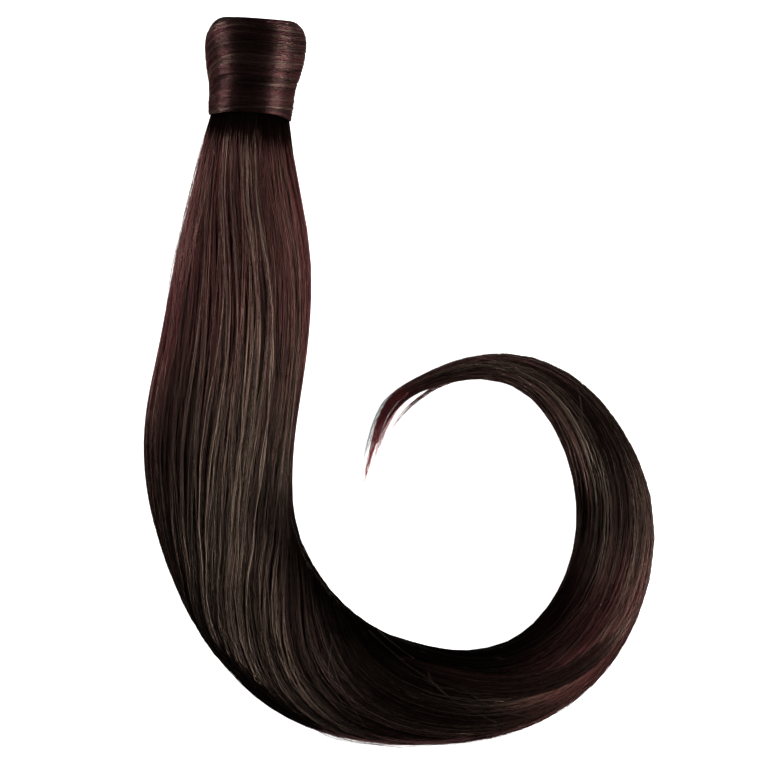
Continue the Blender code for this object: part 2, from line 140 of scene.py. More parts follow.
# x, y: middle of the bundle on the table. width, top: its size. base: where its round underside would
# reach if the table didn't flatten it. twist: how far the hairs have turned round it, in degrees.
TAIL_COLUMNS = ("x", "y", "width", "top", "base", "twist")
TAIL_ROWS = np.array(
    (
        (-60.9, 102.7, 32.0, 25.2, 0.9, 0),
        (-61.4, 76.4, 43.2, 24.2, -1.6, 4),
        (-62.4, 50.4, 53.0, 22.4, -2.4, 12),
        (-64.8, 26.0, 57.4, 21.2, -2.4, 18),
        (-68.6, 2.0, 59.2, 20.4, -2.4, 22),
        (-72.2, -21.0, 60.0, 20.0, -2.4, 24),
        (-71.8, -44.0, 57.4, 20.0, -2.4, 20),
        (-66.2, -68.6, 53.8, 20.0, -2.4, 6),
        (-53.5, -92.9, 52.6, 19.6, -2.4, -30),
        (-36.0, -110.3, 50.0, 19.0, -2.4, -70),
        (-15.6, -120.8, 45.4, 18.4, -2.3, -102),
        (6.4, -125.5, 40.2, 17.8, -2.2, -124),
        (29.6, -125.7, 36.4, 17.2, -2.1, -140),
        (51.0, -119.6, 34.6, 16.8, -2.0, -152),
        (68.2, -106.4, 34.2, 16.4, -1.9, -160),
        (80.2, -87.2, 33.2, 15.8, -1.8, -166),
        (86.0, -64.0, 31.6, 14.8, -1.7, -170),
        (84.8, -44.0, 29.2, 13.4, -1.6, -174),
        (77.4, -23.8, 24.6, 11.8, -1.4, -180),
        (64.4, -5.9, 19.0, 9.8, -1.2, -188),
        (46.6, 4.5, 12.5, 8.0, -1.0, -196),
        (24.4, 4.6, 8.2, 6.4, -0.8, -204),
        (8.2, -1.0, 6.0, 5.4, -0.7, -210),
        (-3.2, -8.4, 4.8, 4.6, -0.6, -214),
        (-8.0, -17.4, 4.0, 3.6, -0.5, -218),
        (-11.4, -28.4, 2.4, 2.2, -0.3, -222),
        (-14.2, -39.6, 0.9, 1.2, -0.1, -224),
    )
)
LOCK_RIDGES = 8
RIDGE_GROOVE = 0.25
RIDGES_RISE = (4, 26)
FULL_GROOVE_HEIGHT = 18
LEAST_HEIGHT = 0.15


def spline(knots, values, places):
    """A natural cubic spline through (knots, values), read at places."""
    count = len(knots)
    gaps = np.diff(knots)
    system = np.eye(count)
    slopes = np.zeros(count)
    for i in range(1, count - 1):
        system[i, i - 1 : i + 2] = gaps[i - 1], 2 * (gaps[i - 1] + gaps[i]), gaps[i]
        slope_here = (values[i + 1] - values[i]) / gaps[i]
        slope_before = (values[i] - values[i - 1]) / gaps[i - 1]
        slopes[i] = 6 * (slope_here - slope_before)
    bends = np.linalg.solve(system, slopes)
    left = np.clip(np.searchsorted(knots, places) - 1, 0, count - 2)
    gap = gaps[left]
    after = places - knots[left]
    before = gap - after
    curved = (bends[left] * before**3 + bends[left + 1] * after**3) / (6 * gap)
    straight_left = (values[left] / gap - bends[left] * gap / 6) * before
    straight_right = (values[left + 1] / gap - bends[left + 1] * gap / 6) * after
    return curved + straight_left + straight_right


tail_run = np.concatenate([[0], np.cumsum(np.hypot(*np.diff(TAIL_ROWS[:, :2], axis=0).T))])
TAIL_LENGTH = float(tail_run[-1])


def smooth_step(low, high, value):
    """0 below low, 1 above high, and a smooth rise between them."""
    share = np.clip((value - low) / (high - low), 0, 1)
    return share * share * (3 - 2 * share)


def stretch(rise, fall, value):
    """1 between two places, with a smooth rise over the first pair and a smooth fall over the second."""
    return smooth_step(*rise, value) * (1 - smooth_step(*fall, value))


def tail_line(along):
    """The bundle's columns at a distance along it, with the direction there."""
    row = {name: spline(tail_run, TAIL_ROWS[:, i], along) for i, name in enumerate(TAIL_COLUMNS[:5])}
    row["twist"] = np.radians(np.interp(along, tail_run, TAIL_ROWS[:, 5]))
    ahead, behind = np.minimum(along + 0.5, TAIL_LENGTH), np.maximum(along - 0.5, 0)
    step_x = spline(tail_run, TAIL_ROWS[:, 0], ahead) - spline(tail_run, TAIL_ROWS[:, 0], behind)
    step_y = spline(tail_run, TAIL_ROWS[:, 1], ahead) - spline(tail_run, TAIL_ROWS[:, 1], behind)
    length = np.hypot(step_x, step_y)
    row["along_x"], row["along_y"] = step_x / length, step_y / length
    return row


def beside(row, across, height):
    """A point of the bundle: this far from its line, towards the outside of the curl, and this high."""
    x, y = row["x"] + across * row["along_y"], row["y"] - across * row["along_x"]
    return np.stack([x, y, height], axis=-1)


def tail_point(along, hair, depth):
    """Where a hair is, in millimetres. along: distance from the band. hair: its angle round the bundle
    at the root, in radians (0 outside the curl, a quarter turn on top). depth: how far under the
    surface. The angle grows by the twist, the oval's radii shrink by the depth and by the groove
    between two locks, and the table flattens the underside."""
    row = tail_line(along)
    half_width, half_height = row["width"] / 2, (row["top"] - row["base"]) / 2
    size = np.minimum(1, 2 * half_height / FULL_GROOVE_HEIGHT)
    valley = 1 - np.abs(np.sin(LOCK_RIDGES * hair / 2)) ** 0.7
    groove = RIDGE_GROOVE * size * smooth_step(*RIDGES_RISE, along) * valley
    sunk = np.minimum(groove + depth * size, 0.9 * half_height)
    sunk_across = np.minimum(groove + depth * size, 0.9 * half_width)
    angle = hair + row["twist"]
    across = (half_width - sunk_across) * np.cos(angle)
    height = row["base"] + half_height + (half_height - sunk) * np.sin(angle)
    return beside(row, across, np.maximum(height, LEAST_HEIGHT))


def mesh_piece(name, points, faces, material):
    """A smooth-shaded piece from points in millimetres and a list of arrays of faces, one array for each
    number of corners."""
    mesh = bpy.data.meshes.new(name)
    points = points.reshape(-1, 3)
    corners = np.concatenate([f.reshape(-1) for f in faces]).astype(np.int32)
    sizes = np.concatenate([np.full(len(f), f.shape[1]) for f in faces])
    mesh.vertices.add(len(points))
    mesh.vertices.foreach_set("co", (points * MM).astype(np.float32).reshape(-1))
    mesh.loops.add(len(corners))
    mesh.loops.foreach_set("vertex_index", corners)
    mesh.polygons.add(len(sizes))
    starts = np.concatenate([[0], np.cumsum(sizes)[:-1]]).astype(np.int32)
    mesh.polygons.foreach_set("loop_start", starts)
    mesh.polygons.foreach_set("use_smooth", np.ones(len(sizes), bool))
    mesh.update(calc_edges=True)
    mesh.validate()
    mesh.materials.append(material)
    piece = bpy.data.objects.new(name, mesh)
    bpy.context.scene.collection.objects.link(piece)
    return piece


def point_values(piece, tint, red, shade):
    """Stores three numbers for each point of the piece, for its material to read."""
    for name, values in (("tint", tint), ("red", red), ("shade", shade)):
        layer = piece.data.attributes.new(name, "FLOAT", "POINT")
        layer.data.foreach_set("value", np.asarray(values, np.float32).reshape(-1))


def ring_faces(rings, sides, closed=False):
    """Quads between rings of points, each ring wound anticlockwise as seen from the ring after it."""
    count = rings if closed else rings - 1
    ring = np.arange(count)[:, None]
    side = np.arange(sides)[None, :]
    here, there = ring * sides, (ring + 1) % rings * sides
    after = (side + 1) % sides
    return np.stack([here + side, here + after, there + after, there + side], axis=-1).reshape(-1, 4)


def hair_tubes(name, paths, radius, across, material, values):
    """Closed three-sided tubes along paths, an array of hairs x stations x 3. Each station's triangle is
    set square to the path, from the given across direction, at the radius there. values are the
    hairs' tint, red and shade."""
    hairs, stations = paths.shape[:2]
    along = np.gradient(paths, axis=1)
    along /= np.linalg.norm(along, axis=-1, keepdims=True)
    second = np.cross(along, across)
    second /= np.linalg.norm(second, axis=-1, keepdims=True)
    first = np.cross(second, along)
    turn = np.arange(3) * 2 * np.pi / 3
    ring = first[:, :, None] * np.cos(turn)[:, None] + second[:, :, None] * np.sin(turn)[:, None]
    points = paths[:, :, None] + radius[:, :, None, None] * ring
    one = ring_faces(stations, 3)
    start = np.arange(hairs)[:, None, None] * stations * 3
    sides = (one[None] + start).reshape(-1, 4)
    ends = np.array([(0, 2, 1), (3 * stations - 3, 3 * stations - 2, 3 * stations - 1)])
    piece = mesh_piece(name, points, [sides, (ends[None] + start).reshape(-1, 3)], material)
    point_values(piece, *(np.repeat(np.broadcast_to(value, (hairs, stations)), 3) for value in values))
    return piece


# The hair's browns, from black-brown to a lighter ashy brown, each with the tint at which it is reached.
HAIR_BROWNS = (
    (0, (0.0025, 0.0020, 0.0016, 1)),
    (0.35, (0.0148, 0.0110, 0.0086, 1)),
    (0.7, (0.047, 0.0335, 0.026, 1)),
    (1, (0.118, 0.086, 0.067, 1)),
)


def hair_colour_group():
    """The colour of one hair from three numbers: tint picks a place in the browns, red moves it towards
    burgundy, and shade darkens or lightens it: partly the hair's own tone, partly painted shade and
    painted highlights."""
    group = bpy.data.node_groups.new("hair_colour", "ShaderNodeTree")
    for name in ("Tint", "Red", "Shade"):
        group.interface.new_socket(name=name, in_out="INPUT", socket_type="NodeSocketFloat")
    group.interface.new_socket(name="Burgundy", in_out="INPUT", socket_type="NodeSocketColor")
    group.interface.new_socket(name="Color", in_out="OUTPUT", socket_type="NodeSocketColor")
    nodes, links = group.nodes, group.links
    given = nodes.new("NodeGroupInput")
    made = nodes.new("NodeGroupOutput")
    browns = nodes.new("ShaderNodeValToRGB")
    ramp = browns.color_ramp
    ramp.elements[0].color = HAIR_BROWNS[0][1]
    ramp.elements[1].color = HAIR_BROWNS[-1][1]
    for place, colour in HAIR_BROWNS[1:-1]:
        stop = ramp.elements.new(place)
        stop.color = colour
    redden, darken = nodes.new("ShaderNodeMix"), nodes.new("ShaderNodeMix")
    for mix in (redden, darken):
        mix.data_type = "RGBA"
    darken.blend_type = "MULTIPLY"
    darken.inputs["Factor"].default_value = 1.0
    links.new(given.outputs["Tint"], browns.inputs["Fac"])
    links.new(given.outputs["Red"], redden.inputs["Factor"])
    links.new(browns.outputs["Color"], redden.inputs["A"])
    links.new(given.outputs["Burgundy"], redden.inputs["B"])
    links.new(redden.outputs["Result"], darken.inputs["A"])
    links.new(given.outputs["Shade"], darken.inputs["B"])
    links.new(darken.outputs["Result"], made.inputs["Color"])
    return group


hair_colour = hair_colour_group()


def hair_material(name, roughness, sheen, burgundy):
    """Dark hair whose colour is mostly in its sheen along each hair, as on coated fibre. sheen is how
    much of it is. Its colour comes from the piece's tint, red and shade values."""
    material = bpy.data.materials.new(name)
    material.use_nodes = True
    nodes, links = material.node_tree.nodes, material.node_tree.links
    shader = nodes["Principled BSDF"]
    colour = nodes.new("ShaderNodeGroup")
    colour.node_tree = hair_colour
    colour.inputs["Burgundy"].default_value = burgundy
    for value in ("Tint", "Red", "Shade"):
        read = nodes.new("ShaderNodeAttribute")
        read.attribute_name = value.lower()
        links.new(read.outputs["Fac"], colour.inputs[value])
    links.new(colour.outputs["Color"], shader.inputs["Base Color"])
    shader.inputs["Roughness"].default_value = roughness
    shader.inputs["Metallic"].default_value = sheen
    shader.inputs["Specular Tint"].default_value = EDGE_SHEEN
    return material


EDGE_SHEEN = (0.3, 0.2, 0.18, 1)
BURGUNDY = (0.042, 0.012, 0.0125, 1)
LOOSE_RED = (0.13, 0.052, 0.052, 1)
TIP_RED = (0.30, 0.042, 0.052, 1)
tail_hair = hair_material("tail_hair", 0.28, 0.9, BURGUNDY)
tail_under = hair_material("tail_under_hair", 0.45, 0.9, BURGUNDY)
loose_hair = hair_material("loose_hair", 0.4, 0.3, LOOSE_RED)
wisp_hair = hair_material("wisp_hair", 0.4, 0.3, TIP_RED)

# How light and how red the hairs are round the bundle, in rows: angle at the root in degrees, tint and
# red.
LOCKS = np.array(
    (
        (-60, 0.16, 0.10),
        (-30, 0.30, 0.40),
        (5, 0.46, 0.60),
        (25, 0.30, 0.24),
        (40, 0.36, 0.16),
        (60, 0.52, 0.14),
        (78, 0.66, 0.14),
        (95, 0.64, 0.16),
        (120, 0.44, 0.24),
        (140, 0.30, 0.22),
        (165, 0.16, 0.32),
        (200, 0.20, 0.28),
        (225, 0.34, 0.14),
        (245, 0.22, 0.22),
        (270, 0.24, 0.10),
        (290, 0.34, 0.10),
        (300, 0.16, 0.10),
    )
)
TINT_SPREAD = 0.2
RED_SPREAD = 0.16

# How light they are along the tail, as millimetres from the band and shade: painted shade under the band
# and along the bottom of the curl, a painted highlight round 335 mm on the lower right of the curl, and
# lighter hair towards the tip.
SHADES = np.array(
    (
        (0, 0.4),
        (10, 0.72),
        (38, 0.95),
        (110, 0.9),
        (160, 0.8),
        (205, 1.15),
        (240, 0.9),
        (270, 0.8),
        (300, 0.9),
        (335, 2.0),
        (390, 0.8),
        (435, 1.6),
        (475, 2.4),
        (505, 2.6),
        (530, 3.0),
    )
)
MOST_SHADE = 9

# Between which places along it the tail goes into its curl and comes out of it: the stretch whose inside
# gets painted shade.
INTO_CURL = (120, 175)
OUT_OF_CURL = (395, 430)

# Places that are lighter or darker than the hair round them: how far along and over what length, at
# what root angle and over how many degrees, and how many times as light. The patches at 326 and 434 mm
# are painted highlights, on the lower right of the curl and at the inner edge of its upper right.
PATCHES = (
    (79, 30, 22, 14, 0.85),
    (121, 22, 24, 16, 0.72),
    (158, 24, 24, 18, 2.0),
    (178, 22, 50, 18, 1.9),
    (217, 24, 77, 26, 1.3),
    (247, 24, 111, 20, 1.25),
    (278, 45, 172, 15, 3.2),
    # Painted highlight on the lower right of the curl.
    (326, 30, 216, 28, 7.0),
    (396, 26, 256, 30, 0.55),
    # Painted highlight at the inner edge of the upper right.
    (434, 26, 304, 26, 12.0),
    (472, 20, 298, 40, 1.8),
)


def lock_values(hair, chance):
    """Tint and red of hairs at this root angle, spread round the lock's own by the chance numbers
    (hairs x 2), the tint much less in the even dark lock at the left."""
    degrees = (np.degrees(hair) + 60) % 360 - 60
    even = 1 - 0.7 * np.exp(-(((degrees - 25) / 20) ** 2))
    tint = np.interp(degrees, LOCKS[:, 0], LOCKS[:, 1]) + TINT_SPREAD * even * chance[..., 0]
    red = np.interp(degrees, LOCKS[:, 0], LOCKS[:, 2]) + RED_SPREAD * chance[..., 1]
    return np.clip(tint, 0.02, 1), np.clip(red, 0, 1)


def tail_shade(along, hair):
    """The shade along the tail, with painted shade on the inside of the curl, where the curl shades
    itself from the lamps, and changed in each patch by a bell curve of the distance from its middle."""
    angle = hair + np.radians(np.interp(along, tail_run, TAIL_ROWS[:, 5]))
    curled = stretch(INTO_CURL, OUT_OF_CURL, along)
    inside = smooth_step(0.05, 0.75, -np.cos(angle))
    # Painted shade on the inside of the curl.
    shade = np.interp(along, SHADES[:, 0], SHADES[:, 1]) * (1 - 0.8 * curled * inside)
    for middle, length, root, spread, gain in PATCHES:
        turned = (np.degrees(hair) - root + 180) % 360 - 180
        shade = shade * gain ** np.exp(-(((along - middle) / length) ** 2) - (turned / spread) ** 2)
    return np.minimum(shade, MOST_SHADE)


# The collar stands on its own line: its lower edge is centred here on the table, and it leans this
# much. The bound root inside it: how far up that line, and the width, top and base of its oval.
COLLAR_FOOT = (-60.0, 104.4)
COLLAR_LEAN = np.radians(4.7)
LOWER_EDGE = 2.7
ROOT_ROWS = ((12.6, 24.4, 22.6, 4.2), (4.6, 26.1, 23.05, 2.95), (-0.9, 26.1, 23.05, 2.95))
BUNDLE_SECTIONS = 300
BUNDLE_SIDES = 96
BUNDLE_END = 0.96
BUNDLE_SUNK = 0.9
BUNDLE_TIP_SUNK = 2.6


def tail_bundle():
    """The filled bundle: ovals up the bound root, then sections by hair angle, sunk under the hairs and
    ending before the tip. One closed grid, with a cap at each end."""
    sections, sides = BUNDLE_SECTIONS, BUNDLE_SIDES
    along = np.linspace(0.3, BUNDLE_END * TAIL_LENGTH, sections)[:, None] * np.ones(sides)
    hair = (np.arange(sides) * 2 * np.pi / sides)[None, :] * np.ones((sections, 1))
    sunk = BUNDLE_SUNK + BUNDLE_TIP_SUNK * smooth_step(0.80, BUNDLE_END, along / TAIL_LENGTH)
    rows = np.array(ROOT_ROWS)[:, :, None]
    lean = COLLAR_LEAN * np.clip(rows[:, 0] / LOWER_EDGE, 0, 1)
    across = -rows[:, 1] / 2 * np.cos(hair[:1])
    root = np.stack(
        [
            COLLAR_FOOT[0] + rows[:, 0] * np.sin(COLLAR_LEAN) + across * np.cos(lean),
            COLLAR_FOOT[1] + rows[:, 0] * np.cos(COLLAR_LEAN) - across * np.sin(lean),
            (rows[:, 2] + rows[:, 3]) / 2 + (rows[:, 2] - rows[:, 3]) / 2 * np.sin(hair[:1]),
        ],
        axis=-1,
    )
    grid = np.concatenate([root, tail_point(along, hair, sunk)])
    along, hair = np.concatenate([0 * root[..., 0], along]), np.concatenate([hair[:3], hair])
    last = (len(grid) - 1) * sides
    caps = [np.arange(sides)[None, ::-1], np.arange(last, last + sides)[None, :]]
    piece = mesh_piece("tail_bundle", grid, [ring_faces(len(grid), sides), *caps], tail_under)
    rng = np.random.default_rng(5)
    tint, red = lock_values(hair[0], rng.normal(0, 1, (sides, 2)) * 0.5)
    # The bundle is darker than the hairs over it: painted shade of the deep hair seen in the gaps between
    # them.
    shade = 0.6 * tail_shade(along, hair)
    point_values(piece, 0.75 * tint + 0 * along, 0.5 * red + 0 * along, shade)
    return piece


# How many clumps and hairs there are, the share of clumps that are light, and how far the hairs of a
# light clump and of another lie from its middle, as shares of the room that it has.
CLUMPS = 340
LIGHT_CLUMPS = 0.3
LIGHT_SPREAD = 0.35
OTHER_SPREAD = 1.1
TAIL_HAIRS = 2850
TAIL_STATIONS = 38
HAIR_RADIUS = 0.12
UPWARD = (0, 0, 1)

# From where the bundle thins, the row where it is fullest, and how far a hair reaches at least and at
# most near the tip, as shares of the tail's length.
THINS_FROM = 100
FULLEST_ROW = 5
HAIRS_END = (0.92, 0.98)

# Where the hairs start, over the band: how far up the collar's line, and the oval there. ROOT_SHADE is
# painted shade on the roots, under the wrap's lower edge.
ROOT_UP = 3.2
ROOT_HALF_WIDTH = 15.2
ROOT_HALF_DEPTH = 11.9
ROOT_HEIGHT = 13.0
ROOT_SHADE = 0.2


def wavering(rng, count, reach, shortest, longest, along):
    """A slow sine of its own for each clump or hair, along its length."""
    wave = rng.uniform(shortest, longest, (count, 1))
    start = rng.uniform(0, 2 * np.pi, (count, 1))
    return reach * rng.uniform(0.4, 1, (count, 1)) * np.sin(2 * np.pi * along / wave + start)


def root_points(hair):
    """Where hairs start: on an oval over the band, square to the collar's line."""
    across = -ROOT_HALF_WIDTH * np.cos(hair)
    return np.stack(
        [
            COLLAR_FOOT[0] + ROOT_UP * np.sin(COLLAR_LEAN) + across * np.cos(COLLAR_LEAN),
            COLLAR_FOOT[1] + ROOT_UP * np.cos(COLLAR_LEAN) - across * np.sin(COLLAR_LEAN),
            ROOT_HEIGHT + ROOT_HALF_DEPTH * np.sin(hair),
        ],
        axis=-1,
    )


def tail_hairs():
    """The shell of hairs, in four pieces. Each hair belongs to a small clump and keeps its angle round
    the bundle, but for the slow sway of its clump and a little of its own. Fewer reach each point
    further on, as the bundle thins. The light clumps lie on top."""
    rng = np.random.default_rng(11)
    clump = np.sort(rng.integers(0, CLUMPS, TAIL_HAIRS))
    light = rng.uniform(0, 1, CLUMPS) < LIGHT_CLUMPS
    room = 2 * np.pi / CLUMPS
    clump_angle = (np.arange(CLUMPS) + rng.uniform(-0.3, 0.3, CLUMPS)) * room
    offset = rng.normal(0, 1, TAIL_HAIRS) * np.where(light, LIGHT_SPREAD, OTHER_SPREAD)[clump] * room
    girth = TAIL_ROWS[:, 2] + TAIL_ROWS[:, 3]
    thinned = np.where(tail_run > THINS_FROM, girth / girth[FULLEST_ROW], 1.0)
    thinned = np.minimum.accumulate(thinned)
    reach = np.interp(rng.uniform(0.06, 1, TAIL_HAIRS), thinned[::-1], tail_run[::-1])
    reach = reach + rng.uniform(-25, 25, TAIL_HAIRS)
    reach = np.minimum(reach, TAIL_LENGTH * rng.uniform(*HAIRS_END, TAIL_HAIRS))
    share = np.linspace(0, 1, TAIL_STATIONS)[None, :]
    along = share * reach[:, None] + 4 * np.sin(np.pi * share) * rng.uniform(-1, 1, (TAIL_HAIRS, 1))

    # Each clump's own slow sways, the first from side to side and the second in and out.
    wave = rng.uniform(150, 350, (CLUMPS, 2))
    start = rng.uniform(0, 2 * np.pi, (CLUMPS, 2))
    height = rng.uniform(0.4, 1, (CLUMPS, 2))
    across, inward = (
        np.sin(2 * np.pi * along / wave[clump, i : i + 1] + start[clump, i : i + 1]) for i in range(2)
    )
    sway = 0.1 * height[clump, :1] * across
    own = wavering(rng, TAIL_HAIRS, 0.03, 60, 190, along)
    bunched = 1 - 0.5 * smooth_step(20, 90, along)
    hair = clump_angle[clump][:, None] + offset[:, None] * bunched
    hair = hair + smooth_step(0, 40, along) * (sway + own)
    buried = 1.1 * rng.uniform(0, 1, (TAIL_HAIRS, 1)) ** 1.3
    sink = 0.5 * (0.5 + 0.5 * inward) * height[clump, 1:]
    paths = tail_point(along, hair, buried + sink - 0.3 * light[clump, None])
    paths[:, 0] = root_points(hair[:, 0])
    paths[..., 2] = np.maximum(paths[..., 2], rng.uniform(0.15, 0.65, (TAIL_HAIRS, 1)))
    radius = HAIR_RADIUS * rng.uniform(0.6, 1.45, (TAIL_HAIRS, 1))
    radius = radius * (1 - 0.6 * smooth_step(0.9, 1.0, share))

    # The colours: a light clump is above its lock's tint and the others a little under it. The hair is
    # redder near the band, low at the right of the curl and at the tip, and browner between them.
    clump_chance = rng.normal(0, 1, (CLUMPS, 2))
    clump_chance[:, 0] = np.where(light, 1.1, -0.5) + 0.4 * clump_chance[:, 0]
    chance = clump_chance[clump] + (0.5, 0.8) * rng.normal(0, 1, (TAIL_HAIRS, 2))
    tint, red = lock_values(clump_angle[clump], chance)
    redder = 0.3 * (1 - smooth_step(50, 120, along)) + 0.2 * stretch((290, 335), (350, 390), along)
    faded = 1 - 0.7 * stretch((95, 160), (300, 330), along) - 0.6 * smooth_step(350, 390, along)
    tip_red = smooth_step(0.905, 0.95, along / TAIL_LENGTH)
    red = np.clip(red[:, None] * faded + redder + tip_red, 0, 1)
    streaks = wavering(rng, CLUMPS, 0.45, 0.5, 1.4, along[:1] / 110)
    shade = tail_shade(along, hair) * (1 + streaks[clump])
    # Painted shade on the roots under the wrap's edge.
    shade[:, 0] = ROOT_SHADE

    quarters = np.linspace(0, TAIL_HAIRS, 5).astype(int)
    pieces = []
    for side, first, last in zip(("outer", "upper", "inner", "under"), quarters, quarters[1:]):
        part = slice(first, last)
        values = (tint[part, None], red[part], shade[part])
        name = f"tail_hairs_{side}"
        pieces.append(hair_tubes(name, paths[part], radius[part], UPWARD, tail_hair, values))
    return pieces


# Two locks that part from the bundle, in rows: where along it (a share of its length), how far across
# (-1 inside the curl, 1 outside), how high (a share of the bundle's top), and the lock's width and
# thickness.
OUTER_LOCK = (
    (0.30, 0.64, 0.50, 6.0, 5.0),
    (0.35, 0.73, 0.50, 12.0, 10.0),
    (0.40, 0.80, 0.48, 12.0, 11.0),
    (0.435, 0.88, 0.42, 7.0, 7.0),
    (0.463, 0.97, 0.34, 1.6, 1.6),
)
CROSSING_LOCK = (
    (0.47, -0.62, 0.72, 5.0, 4.0),
    (0.52, -0.34, 0.88, 10.0, 5.0),
    (0.57, 0.10, 0.92, 11.0, 5.0),
    (0.62, 0.54, 0.80, 9.0, 5.0),
    (0.67, 0.84, 0.50, 4.0, 4.0),
)
LOCK_HAIRS = 170
LOCK_STATIONS = 16
LOOSE_LEAST_HEIGHT = 0.2


def lock_hairs(name, rows, tint, red, first_shade, last_shade):
    """The hairs of one such lock, round the upper part of its oval and gathered at both of its ends."""
    rng = np.random.default_rng(61)
    rows = np.array(rows)
    share = np.linspace(0, 1, LOCK_STATIONS)[None, :] * rng.uniform(0.85, 1, (LOCK_HAIRS, 1))
    at = rows[0, 0] + (rows[-1, 0] - rows[0, 0]) * share
    across, high, width, thick = (spline(rows[:, 0], rows[:, i], at) for i in range(1, 5))
    row = tail_line(at * TAIL_LENGTH)
    turn = rng.uniform(-0.6, np.pi + 0.6, (LOCK_HAIRS, 1))
    turn = turn + wavering(rng, LOCK_HAIRS, 0.15, 0.6, 1.5, share)
    out = rng.uniform(0.75, 1, (LOCK_HAIRS, 1))
    aside = across * row["width"] / 2 + out * width / 2 * np.cos(turn)
    middle = np.maximum(high * row["top"], thick / 2 + LOOSE_LEAST_HEIGHT)
    height = middle + out * thick / 2 * np.sin(turn)
    paths = beside(row, aside, np.maximum(height, LOOSE_LEAST_HEIGHT))
    chance = rng.normal(0, 1, (LOCK_HAIRS, 2))
    tint = np.clip(tint + 0.16 * chance[:, :1], 0, 1)
    red = np.clip(red + 0.1 * chance[:, 1:], 0, 1)
    shade = first_shade + (last_shade - first_shade) * share
    radius = HAIR_RADIUS * rng.uniform(0.6, 1.3, (LOCK_HAIRS, 1))
    radius = radius * (1 - 0.5 * smooth_step(0.8, 1.0, share))
    return hair_tubes(name, paths, radius, UPWARD, tail_hair, (tint, red, shade))


# Where short loose hairs stand off the tail: first and last place along it, their angles there round
# the bundle in degrees (0 outside the curl), how far out, how many, tint, red and shade.
LOOSE_PATCHES = (
    (14, 50, -14, 44, 1.8, 120, 0.7, 0.6, 1.0),
    (70, 150, 0, 26, 0.7, 30, 0.5, 0.5, 0.8),
    (240, 250, 0, 16, 2.2, 26, 0.8, 0.6, 1.0),
    (255, 300, 2, 26, 1.3, 40, 0.6, 0.75, 0.8),
    (176, 206, 160, 184, 0.8, 12, 0.8, 0.1, 0.7),
    (20, 110, 150, 180, 0.6, 24, 0.5, 0.3, 0.8),
    (320, 420, 0, 20, 0.6, 24, 0.4, 0.5, 0.6),
    (440, 500, 0, 60, 0.7, 30, 0.6, 0.6, 0.6),
)
LOOSE_STATIONS = 12
LOOSE_RADIUS = 0.042


def loose_hairs():
    """Short hairs that lie just off the tail's edges. Each leaves the surface and comes back to it."""
    rng = np.random.default_rng(31)
    share = np.linspace(0, 1, LOOSE_STATIONS)[None, :]
    paths, values = [], []
    for first, last, low, high, out, count, tint, red, shade in LOOSE_PATCHES:
        along = rng.uniform(first - 15, last, (count, 1)) + share * rng.uniform(18, 45, (count, 1))
        angle = rng.uniform(low, high, (count, 1)) + rng.uniform(-12, 12, (count, 1)) * (share - 0.5)
        furthest = out * rng.uniform(0.3, 1, (count, 1))
        stand_off = furthest * np.sin(np.pi * share ** rng.uniform(0.6, 1.6, (count, 1)))
        hair = np.radians(angle) - np.radians(np.interp(along, tail_run, TAIL_ROWS[:, 5]))
        paths.append(tail_point(along, hair, 0.4 - stand_off))
        values.append(np.array([tint, red, shade]) * rng.uniform(0.7, 1.2, (count, 3)))
    paths, values = np.concatenate(paths), np.concatenate(values)
    paths[..., 2] = np.maximum(paths[..., 2], 0.3)
    radius = np.full(paths.shape[:2], LOOSE_RADIUS)
    return hair_tubes("tail_loose_hairs", paths, radius, UPWARD, loose_hair, np.split(values, 3, axis=1))


# Thin wisps that end the tail: the main red one, a pink fringe inside it, a small one that parts from the
# inside of the curl, and a pale one outside. middle: points on its line and their heights. width: at its
# start and end. starts, reaches: where its hairs have all started, and how far they all reach, as shares
# of its length.
TIP_WISPS = (
    {
        "middle": (
            (9.6, -0.6, 3.4),
            (2.4, -4.2, 4.6),
            (-3.4, -8.6, 5.0),
            (-7.6, -16.4, 4.4),
            (-10.4, -24.6, 3.2),
            (-12.8, -33.4, 1.8),
            (-14.8, -43.0, 0.6),
        ),
        "width": (4.8, 1.0),
        "hairs": 150,
        "radius": 0.055,
        "starts": 0.3,
        "reaches": 0.55,
        "tint": 0.6,
        "red": 1.0,
        "first_shade": 0.12,
    },
    {
        "middle": (
            (10.0, -2.4, 2.6),
            (3.4, -6.4, 2.4),
            (-2.2, -12.2, 2.2),
            (-6.4, -20.4, 1.6),
            (-9.2, -28.8, 1.0),
            (-11.8, -36.6, 0.6),
        ),
        "width": (1.6, 1.6),
        "hairs": 80,
        "radius": 0.04,
        "starts": 0.3,
        "reaches": 0.5,
        "tint": 0.6,
        "red": 1.0,
        "first_shade": 0.9,
    },
    {
        "middle": (
            (33.0, 4.4, 3.0),
            (21.2, 0.2, 2.4),
            (13.8, -2.9, 2.2),
            (6.8, -7.7, 1.8),
            (2.2, -12.0, 1.4),
            (-2.6, -18.0, 1.0),
            (-5.4, -24.4, 0.6),
        ),
        "width": (1.8, 1.1),
        "hairs": 56,
        "radius": 0.06,
        "starts": 0.04,
        "reaches": 0.5,
        "tint": 0.5,
        "red": 0.6,
        "first_shade": 0.2,
    },
    {
        "middle": (
            (8.0, 0.4, 0.8),
            (-4.0, -7.4, 0.8),
            (-9.6, -16.8, 0.7),
            (-12.5, -25.6, 0.6),
            (-14.6, -38.0, 0.6),
        ),
        "width": (3.0, 2.0),
        "hairs": 90,
        "radius": 0.03,
        "starts": 0.3,
        "reaches": 0.5,
        "tint": 0.95,
        "red": 0.0,
        "first_shade": 0.9,
    },
)
WISP_STATIONS = 18


